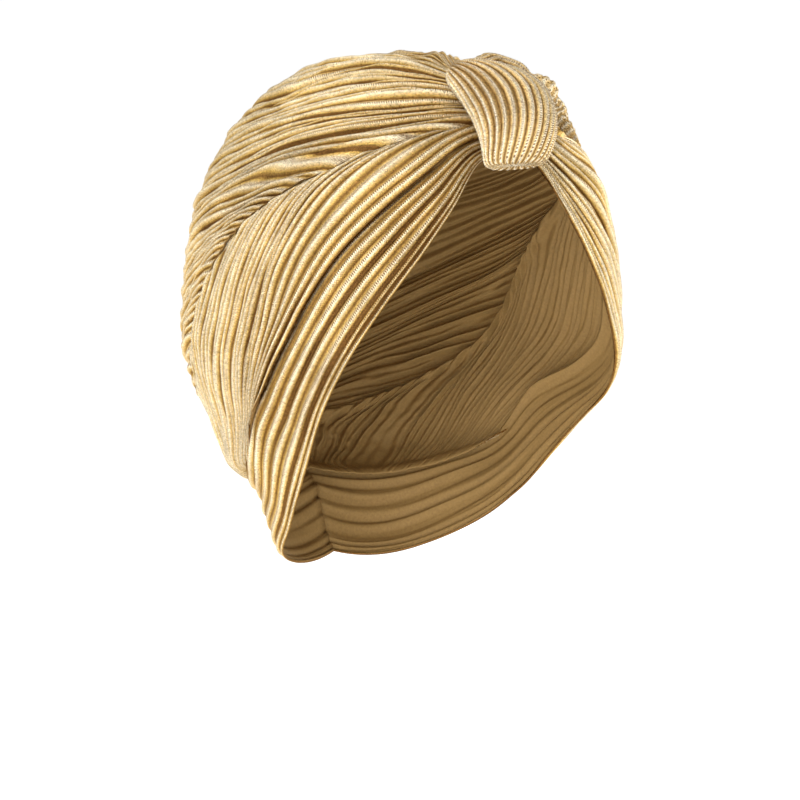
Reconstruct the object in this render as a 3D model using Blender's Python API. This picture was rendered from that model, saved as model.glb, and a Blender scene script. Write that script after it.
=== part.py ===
# Head wrap cap of pleated metallic knit, gathered into a knot over the forehead.
# It keeps the form it has when worn. Metres, +Z up, the face opening looks along -Y,
# and the origin is the inside of the crown, where the top of the head sits.
# A direction from the ear centre is an azimuth and an elevation in degrees: azimuth 0
# is the forehead, 90 the wearer's right ear and 180 the nape.
import bmesh
import bpy
import numpy as np

# Head form, from the ear centre to the cloth
HALF_WIDTH = 0.083
FRONT_REACH = 0.099
BACK_REACH = 0.1055
CROWN_RISE = 0.106
NAPE_DROP = 0.143
ROUNDNESS = 2.25

# Cloth
WALL = 0.0018
FOLD_DEPTH = 0.0026
SEAM_DIP = 0.0024
CREASE_DROP = 0.0026
CREASE_ROLL = 0.0016
SEAM_GAP = 0.0009
SEAT_GAP = 0.0003

# Number of pleats built across each piece, and of stations along it
CROWN_PLEATS = 36
FAN_PLEATS = 15
BAND_PLEATS = 6
KNOT_PLEATS = 20
ROLL_PLEATS = 6
CROWN_STATIONS = 13
FAN_STATIONS = 15
BAND_STATIONS = 20
KNOT_RINGS = 12
ROLL_RINGS = 12

# Share of its depth that a pleat keeps at its ends, and the share of its length where
# it reaches full depth. Stations next to a wrap's ends are drawn closer by END_SQUEEZE.
PLEAT_END_SHARE = 0.35
PLEAT_RUN_IN = 0.08
END_SQUEEZE = 0.09
# Power by which a wrap's first border ceases to hold the pleats next to it
EDGE_HOLD = 12
# Share of a wrap over which the gap at its borders fades out
BORDER_FADE = 0.12
# Share across the face band where it starts to sink under the side fan
BAND_SINKS_FROM = 0.72

# Knot: a bun of wound cloth on the gathered front, with a rolled fold behind it
KNOT_ELEVATION = 48.0
KNOT_WIDTH = 0.037
KNOT_HEIGHT = 0.0533
KNOT_DEPTH = 0.026
KNOT_STAND_OFF = 0.0105
KNOT_PLEAT_DEPTH = 0.0018
ROLL_THICKNESS = 0.0145
ROLL_PLEAT_SHARE = 0.1
# Shares of the knot's width by which its top and its foot lie to the wearer's right, of
# its height by which the foot is short, and of its depth by which both ends sink
KNOT_LEAN = 0.40
KNOT_FOOT_SHIFT = 0.12
KNOT_FOOT_SHORT = 0.18
KNOT_TOP_SINK = 0.12
KNOT_FOOT_SINK = 0.42
# Powers that shape the knot's outline: how the lean grows towards the top, the rounder
# shoulder on the wearer's left, the slim one on the right, the blunt foot and the depth
KNOT_LEAN_POWER = 2.3
KNOT_LEFT_POWER = 1.1
KNOT_RIGHT_POWER = 1.4
KNOT_FOOT_POWER = 0.15
KNOT_DEPTH_POWER = 0.75

# Elevations where the wraps begin under the knot, on the centre line of the forehead
RIM_FRONT = 39.5
CREASE_FRONT = 46.0
SEAM_FRONT = 50.0
CROWN_FRONT = 70.0

# Share of the plain head form that the cloth keeps low down, at the sides and the nape
# elevation, share at the sides, share at the nape
NECK_PULL = (
    (-90.0, 0.920, 0.920),
    (-70.0, 0.919, 0.920),
    (-64.0, 0.915, 0.918),
    (-58.0, 0.905, 0.880),
    (-53.0, 0.902, 0.854),
    (-48.0, 0.901, 0.876),
    (-43.0, 0.906, 0.910),
    (-38.0, 0.912, 0.912),
    (-31.0, 0.928, 0.928),
    (-22.0, 0.972, 0.972),
    (-10.0, 1.010, 1.010),
    (0.0, 1.000, 1.000),
    (90.0, 1.000, 1.000),
)
# Azimuths between which the pull of the sides gives way to that of the nape
SIDE_ENDS = 80.0
NAPE_BEGINS = 130.0

# The wearer's left side mirrors the right one, drawn forward by a lead in degrees
# azimuth, lead
LEFT_LEAD = (
    (0.0, 0.0),
    (12.0, 5.6),
    (22.0, 10.0),
    (31.0, 13.0),
    (45.0, 16.0),
    (60.0, 16.0),
    (90.0, 12.0),
    (130.0, 5.0),
    (180.0, 0.0),
)
# Elevations between which the lead grows from nothing, at the neck, to its full size
LEAD_BEGINS = -48.0
LEAD_IS_FULL = -12.0

# Face band from the knot to the nape: its rim, and the crease where the side fan starts
# share of length, rim azimuth, rim elevation, crease azimuth, crease elevation
BAND_ROWS = (
    (0.00, 0.0, RIM_FRONT, 0.0, CREASE_FRONT),
    (0.08, 11.0, 39.0, 14.0, 44.0),
    (0.18, 21.8, 27.5, 29.0, 36.0),
    (0.28, 29.8, 17.3, 42.0, 27.0),
    (0.38, 38.5, 6.0, 53.0, 17.0),
    (0.48, 46.7, -6.0, 62.0, 5.0),
    (0.58, 55.0, -19.5, 70.0, -8.0),
    (0.67, 62.0, -31.0, 81.0, -21.0),
    (0.76, 72.0, -45.0, 95.0, -32.0),
    (0.84, 92.0, -58.5, 108.0, -45.0),
    (0.92, 128.0, -65.5, 138.0, -51.0),
    (1.00, 180.0, -65.5, 180.0, -48.0),
)
# Share of the band's length where the side fan tucks behind it
TUCK_PLACE = 0.84

# Seam between the crown and the side fan, from the knot to the nape
# share of length, azimuth, elevation
SEAM_ROWS = (
    (0.00, 0.0, SEAM_FRONT),
    (0.08, 16.0, 48.0),
    (0.19, 38.0, 45.0),
    (0.29, 57.0, 40.5),
    (0.40, 76.0, 35.0),
    (0.50, 91.0, 28.0),
    (0.60, 104.0, 18.0),
    (0.69, 113.0, 6.0),
    (0.77, 119.0, -6.0),
    (0.84, 127.0, -17.0),
    (0.91, 142.0, -27.0),
    (1.00, 180.0, -35.0),
)

# Side fan: pleats from the knot and the seam, spreading down to the nape
# share across, then azimuth and elevation at a fifth, two, three and four fifths along
FAN_ROWS = (
    (0.000, 27.3, 37.4, 47.8, 21.6, 64.0, 2.0, 81.3, -21.3),
    (0.050, 33.5, 39.5, 55.5, 22.3, 70.5, -1.0, 85.5, -22.8),
    (0.094, 49.0, 37.5, 67.0, 18.0, 76.0, -4.0, 88.5, -24.2),
    (0.236, 73.0, 29.0, 83.0, 11.0, 90.0, -9.0, 101.0, -30.0),
    (0.356, 86.0, 25.0, 94.0, 8.0, 101.0, -11.0, 111.0, -31.0),
    (0.453, 99.5, 14.0, 107.0, -3.0, 113.0, -20.0, 121.0, -36.0),
    (0.506, 110.5, 1.0, 115.0, -14.0, 121.0, -28.0, 128.0, -41.0),
    (0.610, 119.5, -10.5, 125.5, -21.0, 131.0, -31.0, 137.0, -42.0),
    (0.680, 127.0, -20.5, 133.0, -28.5, 139.0, -36.5, 145.0, -44.0),
    (0.764, 146.0, -31.0, 151.0, -36.5, 156.0, -41.5, 161.0, -46.0),
    (1.000, 180.0, -37.6, 180.0, -40.2, 180.0, -42.8, 180.0, -45.4),
)
# Where each pleat of the fan starts on the seam; before the first row it leaves the knot
# share across, share of the seam
FAN_STARTS = (
    (0.050, 0.00),
    (0.094, 0.10),
    (0.236, 0.29),
    (0.356, 0.38),
    (0.453, 0.49),
    (0.506, 0.61),
    (0.610, 0.72),
    (0.680, 0.80),
    (0.764, 0.90),
    (1.000, 1.00),
)

# Crown, right half: pleats from the seam and the knot, over to the back centre line
# share across, azimuth and elevation at one to four fifths along, elevation at the end
CROWN_ROWS = (
    (0.000, 156.0, -31.5, 162.0, -32.6, 168.0, -33.6, 174.0, -34.4, -35.0),
    (0.060, 143.0, -24.5, 152.0, -26.5, 162.0, -28.5, 171.0, -30.0, -31.0),
    (0.130, 132.0, -12.0, 144.0, -16.5, 156.0, -20.5, 168.0, -24.0, -26.0),
    (0.246, 122.0, 4.0, 137.0, -3.0, 151.0, -10.0, 166.0, -16.0, -20.0),
    (0.325, 113.0, 16.0, 130.0, 7.0, 147.0, -2.0, 164.0, -10.0, -15.0),
    (0.374, 105.0, 24.0, 124.0, 14.0, 143.0, 3.0, 162.0, -6.0, -10.0),
    (0.414, 98.0, 30.0, 119.0, 21.5, 139.0, 10.5, 160.0, 1.0, -4.0),
    (0.468, 82.0, 40.0, 107.0, 32.5, 131.0, 22.0, 156.0, 11.0, 5.0),
    (0.498, 55.0, 46.0, 92.0, 41.0, 121.0, 29.0, 150.0, 17.0, 10.0),
    (0.567, 40.0, 52.0, 82.0, 49.0, 114.0, 38.0, 147.0, 24.0, 16.0),
    (0.626, 40.0, 55.5, 84.0, 54.0, 117.0, 43.5, 148.0, 30.0, 22.0),
    (0.675, 42.0, 62.0, 82.0, 58.5, 114.0, 50.5, 147.0, 37.0, 28.0),
    (0.783, 45.0, 74.0, 97.0, 68.0, 121.0, 57.0, 152.0, 44.0, 36.0),
    (1.000, 0.0, 83.0, 180.0, 82.0, 180.0, 69.0, 180.0, 57.0, 46.0),
)
# Where each pleat of the crown starts on the seam; past the last row it leaves the knot
# share across, share of the seam
CROWN_STARTS = (
    (0.000, 0.93),
    (0.060, 0.87),
    (0.130, 0.78),
    (0.246, 0.64),
    (0.325, 0.54),
    (0.374, 0.465),
    (0.414, 0.40),
    (0.468, 0.28),
    (0.498, 0.10),
    (0.530, 0.00),
)

# Rolled fold behind the knot, in shares of the knot's half sizes
# share along, across, up the head, out from the head, share of the full thickness
ROLL_ROWS = (
    (0.00, -0.40, 1.25, -0.72, 0.38),
    (0.22, 0.20, 1.13, -0.53, 0.86),
    (0.45, 0.80, 1.17, -0.75, 0.92),
    (0.65, 1.32, 0.62, -0.47, 0.90),
    (0.84, 1.78, 0.20, -0.87, 0.73),
    (1.00, 2.00, -0.34, -1.04, 0.40),
)

# The ear centre, placed so that the inside of the crown touches the origin
EAR_CENTRE = np.array((0.0, 0.0, WALL + FOLD_DEPTH / 2 - CROWN_RISE))

# Gilded knit, as sRGB values of the cloth in the light and in the folds
GOLD_LIGHT = (0.88, 0.74, 0.46)
GOLD_DEEP = (0.72, 0.56, 0.28)
DISPLAY_GAMMA = 2.2
METAL_SHARE = 0.8
WRAP_ROUGHNESS = 0.34
KNOT_ROUGHNESS = 0.3

# A share or a length too small to matter, for comparisons
TINY = 1e-9


def direction(azimuth, elevation):
    """Unit vectors for angles in degrees."""
    a = np.radians(np.asarray(azimuth, float))
    e = np.radians(np.asarray(elevation, float))
    return np.stack((-np.sin(a) * np.cos(e), -np.cos(a) * np.cos(e), np.sin(e)), -1)


def unit(vectors):
    return vectors / np.linalg.norm(vectors, axis=-1, keepdims=True)


def hermite(start, end, leave, arrive, share):
    """Cubic between two points with the given slopes."""
    square = share * share
    cube = square * share
    return (
        (2 * cube - 3 * square + 1) * start
        + (cube - 2 * square + share) * leave
        + (3 * square - 2 * cube) * end
        + (cube - square) * arrive
    )


def through(places, values, at):
    """Smooth curve through table rows, read at many places."""
    places = np.asarray(places, float)
    values = np.asarray(values, float).reshape(len(places), -1)
    slopes = np.gradient(values, places, axis=0)
    row = np.clip(np.searchsorted(places, at, side="right") - 1, 0, len(places) - 2)
    step = (places[row + 1] - places[row])[:, None]
    share = (at - places[row])[:, None] / step
    return hermite(values[row], values[row + 1], slopes[row] * step, slopes[row + 1] * step, share)


def along(stations, share):
    """Smooth line through evenly spaced stations, one line for each share."""
    last = stations.shape[1] - 1
    slopes = np.gradient(stations, axis=1)
    k = np.clip((share * last).astype(int), 0, last - 1)
    line = np.arange(len(share))
    part = (share * last - k)[:, None]
    leave = slopes[line, k]
    arrive = slopes[line, k + 1]
    return hermite(stations[line, k], stations[line, k + 1], leave, arrive, part)


def smooth(share):
    """0 to 1 with level ends."""
    share = np.clip(share, 0, 1)
    return share * share * (3 - 2 * share)


def angles_of(aim):
    """Azimuth without its sign and elevation of unit vectors, in degrees."""
    azimuth = np.degrees(np.abs(np.arctan2(aim[:, 0], -aim[:, 1])))
    return azimuth, np.degrees(np.arcsin(np.clip(aim[:, 2], -1, 1)))


def head_radius(aim):
    """Distance from the ear centre to the plain cloth form, along unit vectors."""
    reach = np.where(aim[:, 1] < 0, FRONT_REACH, BACK_REACH)
    rise = np.where(aim[:, 2] > 0, CROWN_RISE, NAPE_DROP)
    sides = np.abs(np.stack((aim[:, 0] / HALF_WIDTH, aim[:, 1] / reach, aim[:, 2] / rise)))
    plain = (sides**ROUNDNESS).sum(axis=0) ** (-1 / ROUNDNESS)
    azimuth, height = angles_of(aim)
    pull = through(places_of(NECK_PULL), [row[1:] for row in NECK_PULL], height)
    nape = smooth((azimuth - SIDE_ENDS) / (NAPE_BEGINS - SIDE_ENDS))
    return plain * (pull[:, 0] * (1 - nape) + pull[:, 1] * nape)


def left_side(aim_of):
    """The same wrap on the wearer's left, still drawn on the right, with its lead."""
    def led(u, v):
        azimuth, height = angles_of(aim_of(u, v))
        lead = through(places_of(LEFT_LEAD), [row[1] for row in LEFT_LEAD], azimuth)[:, 0]
        grown = smooth((height - LEAD_BEGINS) / (LEAD_IS_FULL - LEAD_BEGINS))
        return direction(azimuth - lead * grown, height)
    return led


def table_directions(rows, first):
    """Directions held in a table's columns first and first + 1."""
    return direction([row[first] for row in rows], [row[first + 1] for row in rows])


def places_of(rows):
    return [row[0] for row in rows]


def rim_line(u):
    return unit(through(places_of(BAND_ROWS), table_directions(BAND_ROWS, 1), u))


def crease_line(u):
    return unit(through(places_of(BAND_ROWS), table_directions(BAND_ROWS, 3), u))


def seam_line(u):
    return unit(through(places_of(SEAM_ROWS), table_directions(SEAM_ROWS, 1), u))


def front_line(low, high, share):
    """Up the centre line of the forehead, between two elevations."""
    return direction(np.zeros(len(share)), low + (high - low) * np.clip(share, 0, 1))


def band_direction(u, v):
    """Face band: u from the knot to the nape, v from the rim to the crease."""
    v = v[:, None]
    return unit(rim_line(u) * (1 - v) + crease_line(u) * v)


def guided(rows, start, end, edge, u, v):
    """Lines u from start to end, guided across v by a table, meeting an edge at v = 0."""
    places = places_of(rows)
    inner = [through(places, table_directions(rows, 1 + 2 * k), v) for k in range(4)]
    lines = along(np.stack([start(v), *inner, end(v)], axis=1), u)
    nought = np.zeros(1)
    first = [table_directions(rows[:1], 1 + 2 * k) for k in range(4)]
    guide = np.stack([start(nought), *first, end(nought)], axis=1)
    drawn = along(np.repeat(guide, len(u), axis=0), u)
    hold = ((1 - v) ** EDGE_HOLD)[:, None]
    return unit(lines + hold * (edge(u) - drawn))


def seam_share(starts, v):
    """Share of the seam at which a pleat starts."""
    return np.interp(v, places_of(starts), [row[1] for row in starts])


def evened(starts, share):
    """Place across a wrap, with pleats closer where their starts run fast on the seam."""
    v = np.linspace(0, 1, 201)
    passed = v + np.abs(seam_share(starts, v) - starts[0][1])
    return np.interp(share, passed / passed[-1], v)


def fan_start(v):
    corner = FAN_STARTS[0][0]
    from_knot = front_line(CREASE_FRONT, SEAM_FRONT, v / corner)
    return np.where((v < corner)[:, None], from_knot, seam_line(seam_share(FAN_STARTS, v)))


def fan_end(v):
    return crease_line(TUCK_PLACE + (1 - TUCK_PLACE) * v)


def fan_edge(u):
    return crease_line(TUCK_PLACE * u)


def fan_direction(u, v):
    """Side fan: u down the pleats, v from the crease to the back centre line."""
    return guided(FAN_ROWS, fan_start, fan_end, fan_edge, u, evened(FAN_STARTS, v))


def crown_start(v):
    corner = CROWN_STARTS[-1][0]
    from_knot = front_line(SEAM_FRONT, CROWN_FRONT, (v - corner) / (1 - corner))
    return np.where((v < corner)[:, None], seam_line(seam_share(CROWN_STARTS, v)), from_knot)


def crown_end(v):
    ends = through(places_of(CROWN_ROWS), [row[9] for row in CROWN_ROWS], v)[:, 0]
    return direction(np.full(len(v), 180.0), ends)


def crown_edge(u):
    first = CROWN_STARTS[0][1]
    return seam_line(first + (1 - first) * u)


def crown_half_direction(u, v):
    """Right half of the crown: u along the pleats, v from the seam up to the top."""
    return guided(CROWN_ROWS, crown_start, crown_end, crown_edge, u, evened(CROWN_STARTS, v))


def crown_direction(u, v):
    """Whole crown: v = 0.5 is the centre line between the right half and the left one."""
    up = 1 - np.abs(2 * v - 1)
    right = crown_half_direction(u, up)
    left = left_side(crown_half_direction)(u, up) * (-1.0, 1.0, 1.0)
    both = np.where((v > 0.5)[:, None], left, right)
    both[:, 0] = np.where(np.abs(2 * v - 1) < TINY, 0.0, both[:, 0])
    return both


def inset(aim_of, u, v):
    """Directions of a wrap, its borders and what lies next to them moved in by half a gap."""
    aim = aim_of(u, v)
    small = 1e-3
    to_u = aim_of(np.clip(u + small, 0, 1), v) - aim_of(np.clip(u - small, 0, 1), v)
    to_v = aim_of(u, np.clip(v + small, 0, 1)) - aim_of(u, np.clip(v - small, 0, 1))
    borders = (
        (u, to_v, to_u),
        (1 - u, to_v, -to_u),
        (v, to_u, to_v),
        (1 - v, to_u, -to_v),
    )
    shift = np.zeros_like(aim)
    for distance, line, inward in borders:
        tangent = unit(line + TINY)
        step = inward - (inward * tangent).sum(axis=1, keepdims=True) * tangent
        share = np.clip(1 - distance / BORDER_FADE, 0, 1)
        shift += unit(step + TINY) * share[:, None]
    return unit(aim + shift * SEAM_GAP / 2 / head_radius(aim)[:, None])


def zigzag(count):
    """Pleat height at counted grid lines: -1 in the valleys and 1 on the ridges."""
    return np.where(count.astype(int) % 2 == 0, -1.0, 1.0)


def make_object(name, mesh_tools, colour, roughness):
    """Puts a bmesh into the scene as a named object with its own material."""
    bmesh.ops.triangulate(mesh_tools, faces=mesh_tools.faces)
    mesh = bpy.data.meshes.new(name)
    mesh_tools.to_mesh(mesh)
    mesh_tools.free()
    piece = bpy.data.objects.new(name, mesh)
    bpy.context.collection.objects.link(piece)
    material = bpy.data.materials.new(name + "_knit")
    material.use_nodes = True
    shader = material.node_tree.nodes["Principled BSDF"]
    shader.inputs["Base Color"].default_value = (*[c**DISPLAY_GAMMA for c in colour], 1.0)
    shader.inputs["Roughness"].default_value = roughness
    shader.inputs["Metallic"].default_value = METAL_SHARE
    mesh.materials.append(material)
    return piece


def make_wrap(name, aim_of, lift_of, pleats, stations, roll, mirror, colour):
    """A pleated wall on the head form: u along the pleats, v across them."""
    across = 2 * pleats
    tools = bmesh.new()
    bmesh.ops.create_grid(tools, x_segments=stations, y_segments=across, size=0.5)
    made = bmesh.ops.extrude_face_region(tools, geom=tools.faces[:])
    inner = [part for part in made["geom"] if isinstance(part, bmesh.types.BMVert)]
    bmesh.ops.translate(tools, verts=inner, vec=(0, 0, -1))
    bmesh.ops.recalc_face_normals(tools, faces=tools.faces)
    flat = np.array([vert.co[:] for vert in tools.verts])
    even = np.round((flat[:, 0] + 0.5) * stations) / stations
    u = np.clip(even - END_SQUEEZE * np.sin(2 * np.pi * even), 0, 1)
    count = np.round((flat[:, 1] + 0.5) * across)
    v = count / across
    aim = inset(aim_of, u, v)
    outer = head_radius(aim) + lift_of(u, v, zigzag(count))
    wall = WALL + roll * (count == 0)
    points = EAR_CENTRE + aim * (outer + flat[:, 2] * wall)[:, None]
    if mirror:
        points[:, 0] *= -1
    else:
        bmesh.ops.reverse_faces(tools, faces=tools.faces)
    for vert, point in zip(tools.verts, points):
        vert.co = point
    return make_object(name, tools, colour, WRAP_ROUGHNESS)


def pleat(u, height):
    """Pleats run at full depth, and close up towards both ends."""
    depth = np.clip(np.minimum(u, 1 - u) / PLEAT_RUN_IN, PLEAT_END_SHARE, 1)
    return FOLD_DEPTH / 2 * height * depth


def crown_lift(u, v, height):
    half = 1 - np.abs(2 * v - 1)
    from_seam = evened(CROWN_STARTS, half) < CROWN_STARTS[-1][0]
    on_seam = (half < TINY) | (u < TINY) & from_seam
    on_back = u > 1 - TINY
    return pleat(u, height) - SEAM_DIP * on_seam - SEAM_DIP / 2 * on_back


def fan_lift(u, v, height):
    on_crease = v < TINY
    on_seam = (u < TINY) & (evened(FAN_STARTS, v) > FAN_STARTS[0][0])
    on_nape = (u > 1 - TINY) & ~on_crease
    lift = pleat(u, np.where(on_crease, 1.0, height))
    return lift - SEAM_DIP * on_seam - SEAM_DIP / 2 * on_nape


def band_lift(u, v, height):
    under = np.clip((v - BAND_SINKS_FROM) / (1 - BAND_SINKS_FROM), 0, 1)
    from_knot = np.clip(u / PLEAT_RUN_IN, 0, 1)
    return pleat(u, height) - CREASE_DROP * under * from_knot


def knot_frame():
    """Centre of the knot, and its axes: across, up the head and out from it."""
    out = direction(0.0, KNOT_ELEVATION)
    tilt = np.radians(KNOT_ELEVATION)
    up = np.array((0.0, np.sin(tilt), np.cos(tilt)))
    seat = head_radius(out[None, :])[0]
    return EAR_CENTRE + out * (seat + KNOT_STAND_OFF), np.array((1.0, 0.0, 0.0)), up, out


def rest_on_wraps(points):
    """Moves points out until they clear the pleats below them."""
    away = points - EAR_CENTRE
    far = np.linalg.norm(away, axis=1)
    aim = away / far[:, None]
    seat = head_radius(aim) + FOLD_DEPTH / 2 + SEAT_GAP
    return EAR_CENTRE + aim * np.maximum(far, seat)[:, None]


def unit_ball(pleats, rings):
    """Sphere mesh with its turn, its height along the axis, and a zigzag round it."""
    tools = bmesh.new()
    bmesh.ops.create_uvsphere(tools, u_segments=2 * pleats, v_segments=rings, radius=1.0)
    ball = np.array([vert.co[:] for vert in tools.verts])
    turn = np.arctan2(ball[:, 1], ball[:, 0])
    count = np.round(turn / (np.pi / pleats)) + 2 * pleats
    return tools, turn, np.clip(ball[:, 2], -1, 1), zigzag(count)


def make_knot(name):
    """Bun with pleats running from its top corner over the front and under."""
    centre, across, up, out = knot_frame()
    tools, turn, height, ridge = unit_ball(KNOT_PLEATS, KNOT_RINGS)
    level = np.sqrt(1 - height**2)
    above = np.clip(height, 0, 1)
    below = np.clip(-height, 0, 1)
    shoulder = np.where(np.cos(turn) > 0, KNOT_LEFT_POWER, KNOT_RIGHT_POWER)
    breadth = level ** np.where(height > 0, shoulder, KNOT_FOOT_POWER)
    swell = KNOT_PLEAT_DEPTH / 2 * ridge * level
    shift = KNOT_LEAN * above**KNOT_LEAN_POWER + KNOT_FOOT_SHIFT * below
    x = (KNOT_WIDTH / 2 * breadth + swell) * np.cos(turn) - KNOT_WIDTH * shift
    y = KNOT_HEIGHT / 2 * height * (1 - KNOT_FOOT_SHORT * below)
    z = (KNOT_DEPTH / 2 * level**KNOT_DEPTH_POWER + swell) * np.sin(turn)
    z = z - KNOT_DEPTH * (KNOT_FOOT_SINK * below**3 + KNOT_TOP_SINK * above**3)
    points = centre + x[:, None] * across + y[:, None] * up + z[:, None] * out
    for vert, point in zip(tools.verts, rest_on_wraps(points)):
        vert.co = point
    bmesh.ops.reverse_faces(tools, faces=tools.faces)
    return make_object(name, tools, GOLD_LIGHT, KNOT_ROUGHNESS)


def roll_row(share):
    return through(places_of(ROLL_ROWS), [row[1:] for row in ROLL_ROWS], np.clip(share, 0, 1))


def make_roll(name):
    """Rolled fold of crown cloth that stands up behind the knot."""
    centre, across, up, out = knot_frame()
    tools, turn, height, ridge = unit_ball(ROLL_PLEATS, ROLL_RINGS)
    share = 1 - np.arccos(height) / np.pi
    halves = np.diag((KNOT_WIDTH, KNOT_HEIGHT, KNOT_DEPTH)) / 2
    to_world = halves @ np.stack((across, up, out))
    spine = roll_row(share)[:, :3] @ to_world
    run = unit((roll_row(share + 0.02) - roll_row(share - 0.02))[:, :3] @ to_world)
    side = unit(np.cross(run, out))
    rise = np.cross(run, side)
    round_end = np.sqrt(np.clip(np.sin(np.pi * share), 0, 1))
    girth = ROLL_THICKNESS / 2 * roll_row(share)[:, 3] * round_end
    girth = girth * (1 + ROLL_PLEAT_SHARE * ridge)
    ring = np.cos(turn)[:, None] * side + np.sin(turn)[:, None] * rise
    points = centre + spine + girth[:, None] * ring
    for vert, point in zip(tools.verts, rest_on_wraps(points)):
        vert.co = point
    return make_object(name, tools, GOLD_DEEP, WRAP_ROUGHNESS)


for old in list(bpy.data.objects):
    bpy.data.objects.remove(old, do_unlink=True)

make_wrap("crown_wrap", crown_direction, crown_lift, CROWN_PLEATS, CROWN_STATIONS,
          0.0, False, GOLD_LIGHT)
for hand, flip in (("right", False), ("left", True)):
    fan_aim = left_side(fan_direction) if flip else fan_direction
    band_aim = left_side(band_direction) if flip else band_direction
    make_wrap("side_wrap_" + hand, fan_aim, fan_lift, FAN_PLEATS, FAN_STATIONS,
              CREASE_ROLL, flip, GOLD_DEEP)
    make_wrap("face_band_" + hand, band_aim, band_lift, BAND_PLEATS, BAND_STATIONS,
              0.0, flip, GOLD_LIGHT)
make_knot("knot_band")
make_roll("knot_back_fold")
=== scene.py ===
import bmesh
import bpy
import numpy as np
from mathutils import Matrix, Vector


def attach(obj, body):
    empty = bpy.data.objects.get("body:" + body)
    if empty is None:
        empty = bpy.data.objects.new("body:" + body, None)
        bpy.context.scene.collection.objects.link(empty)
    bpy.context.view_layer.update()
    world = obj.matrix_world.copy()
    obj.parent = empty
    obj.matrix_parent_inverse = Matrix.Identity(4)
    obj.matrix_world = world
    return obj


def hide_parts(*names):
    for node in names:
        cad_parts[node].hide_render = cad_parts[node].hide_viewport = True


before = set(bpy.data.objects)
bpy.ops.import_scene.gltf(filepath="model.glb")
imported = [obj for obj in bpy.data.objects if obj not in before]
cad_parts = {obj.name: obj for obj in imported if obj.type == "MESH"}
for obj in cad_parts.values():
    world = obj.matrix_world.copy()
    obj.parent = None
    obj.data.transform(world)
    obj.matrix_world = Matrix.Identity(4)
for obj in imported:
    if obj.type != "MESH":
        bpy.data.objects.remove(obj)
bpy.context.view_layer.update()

# Head form, from the ear centre to the cloth
HALF_WIDTH = 0.083
FRONT_REACH = 0.099
BACK_REACH = 0.1055
CROWN_RISE = 0.106
NAPE_DROP = 0.143
ROUNDNESS = 2.25
EAR_CENTRE = np.array((0.0, 0.0, 0.0031 - CROWN_RISE))

# Knit: thickness of the cloth, and depth of its pleats from ridge to valley
CLOTH = 0.0009
PLEAT_DEPTH = 0.0015
# A pleat squeezed narrow is no deeper than this share of its width
PLEAT_STEEPNESS = 0.50

# Power by which a wrap's first border ceases to hold the pleats next to it
EDGE_HOLD = 12

# Shape of a pleat: how much steeper one flank is, and how full the ridge
PLEAT_SKEW = 0.35
PLEAT_FULLNESS = 0.85
# Pitch of the pleats where nothing stretches them
USUAL_PITCH = 0.0032

# Grid lines across each pleat
PLEAT_SAMPLES = 8

# Pleats of each wrap, and grid lines along them
CROWN_PLEATS = 54
CROWN_STATIONS = 90
FAN_PLEATS = 37
FAN_STATIONS = 88
BAND_STATIONS = 150
# Widths of the face band's pleats, from the rim up, in parts of their mean width
BAND_WIDTHS = (0.45, 0.65, 1.2, 1.0, 1.25, 1.1, 1.15)

# How much each pleat differs from its neighbours in height
CROWN_UNEVENNESS = 0.25
FAN_UNEVENNESS = 0.2
BAND_UNEVENNESS = 0.3
# How far the pleats stray sideways, in shares of the wrap's width, and the share of that
# width over which they come to rest at its borders
WRAP_WANDER = 0.006
BAND_WANDER = 0.004
CALM_BORDER = 1 / 8

# Creases pressed deeper between some pleats: share of the valleys, depth, half width in
# pleats, then earliest and latest start and shortest and longest run, in shares of length
CROWN_CREASES = (0.45, 0.0020, 0.5, (-0.4, -0.1), (0.5, 1.0))
FAN_CREASES = (0.30, 0.0018, 0.5, (-0.3, 0.6), (0.3, 1.1))
BAND_CREASES = (0.30, 0.0012, 0.5, (-0.3, 0.6), (0.3, 1.1))
# Share of length over which a crease fades out, the deepest it goes in shares of the
# pleat's width, and how much painted shade it adds to the valley's colour
CREASE_FADE = 0.12
CREASE_ROOM = 0.8
CREASE_SHADE = 0.4

# Seeds of the unevenness: of each side, what its fan and its band add, and of the knot,
# the roll and the roll's gathers
RIGHT_SEED = 11
LEFT_SEED = 12
FAN_SEED_STEP = 20
BAND_SEED_STEP = 40
KNOT_SEED = 41
ROLL_SEED = 43
GATHER_SEED = 47

# Broad folds over several pleats, and small dents along them: height of each
CROWN_SWELLS = (0.0007, 0.00025)
FAN_SWELLS = (0.0005, 0.0002)
BAND_SWELLS = (0.0002, 0.0002)

# Places where the cloth stands off the head form: beside the knot's top, and on the
# wearer's left under the roll
# azimuth, elevation, half size in degrees, rise
PUFFS = (
    (-5.5, 77.0, 3.5, 0.0032),
    (-34.0, 33.0, 7.0, 0.0026),
)

# How deep a piece sinks where it runs on, hidden, beneath its neighbour, and over what run
TUCK_DEPTH = 0.0030
TUCK_RUN = 0.009
# Lips of the crown over the seam and of the fan over the crease
CROWN_LIP_RISE = 0.0008
CROWN_LIP_RUN = 0.006
FAN_LIP_RISE = 0.0006
FAN_LIP_PLEATS = 2
# Share by which the crown's pleats lie flat where they start on the seam, and over what run
SEAM_FLATNESS = 0.65
SEAM_RUN = 0.008
# Shares of the width over which these forms fade out, of the crown and of the fan, and
# shares of the crease over which the fan's lip comes in and goes out
CROWN_SEAM_FADE = 0.04
FAN_SEAM_FADE = 0.05
LIP_COMES_IN = 1 / 6
LIP_GOES_OUT = 1 / 8
# How far the crown turns in at the seam, and at the back centre line
SEAM_TURN = 0.0010
SEAM_TURN_RUN = 0.003
BACK_TURN = 0.0012
BACK_TURN_RUN = 0.005
# Hidden ends of the fan past the seam and the band, in shares of its length, and how its
# pleats flatten towards the lower one: run, and share of height that is left
FAN_RUN = (-0.035, 1.02)
FAN_END_RUN = 0.016
FAN_END_HEIGHT = 0.15
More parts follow.
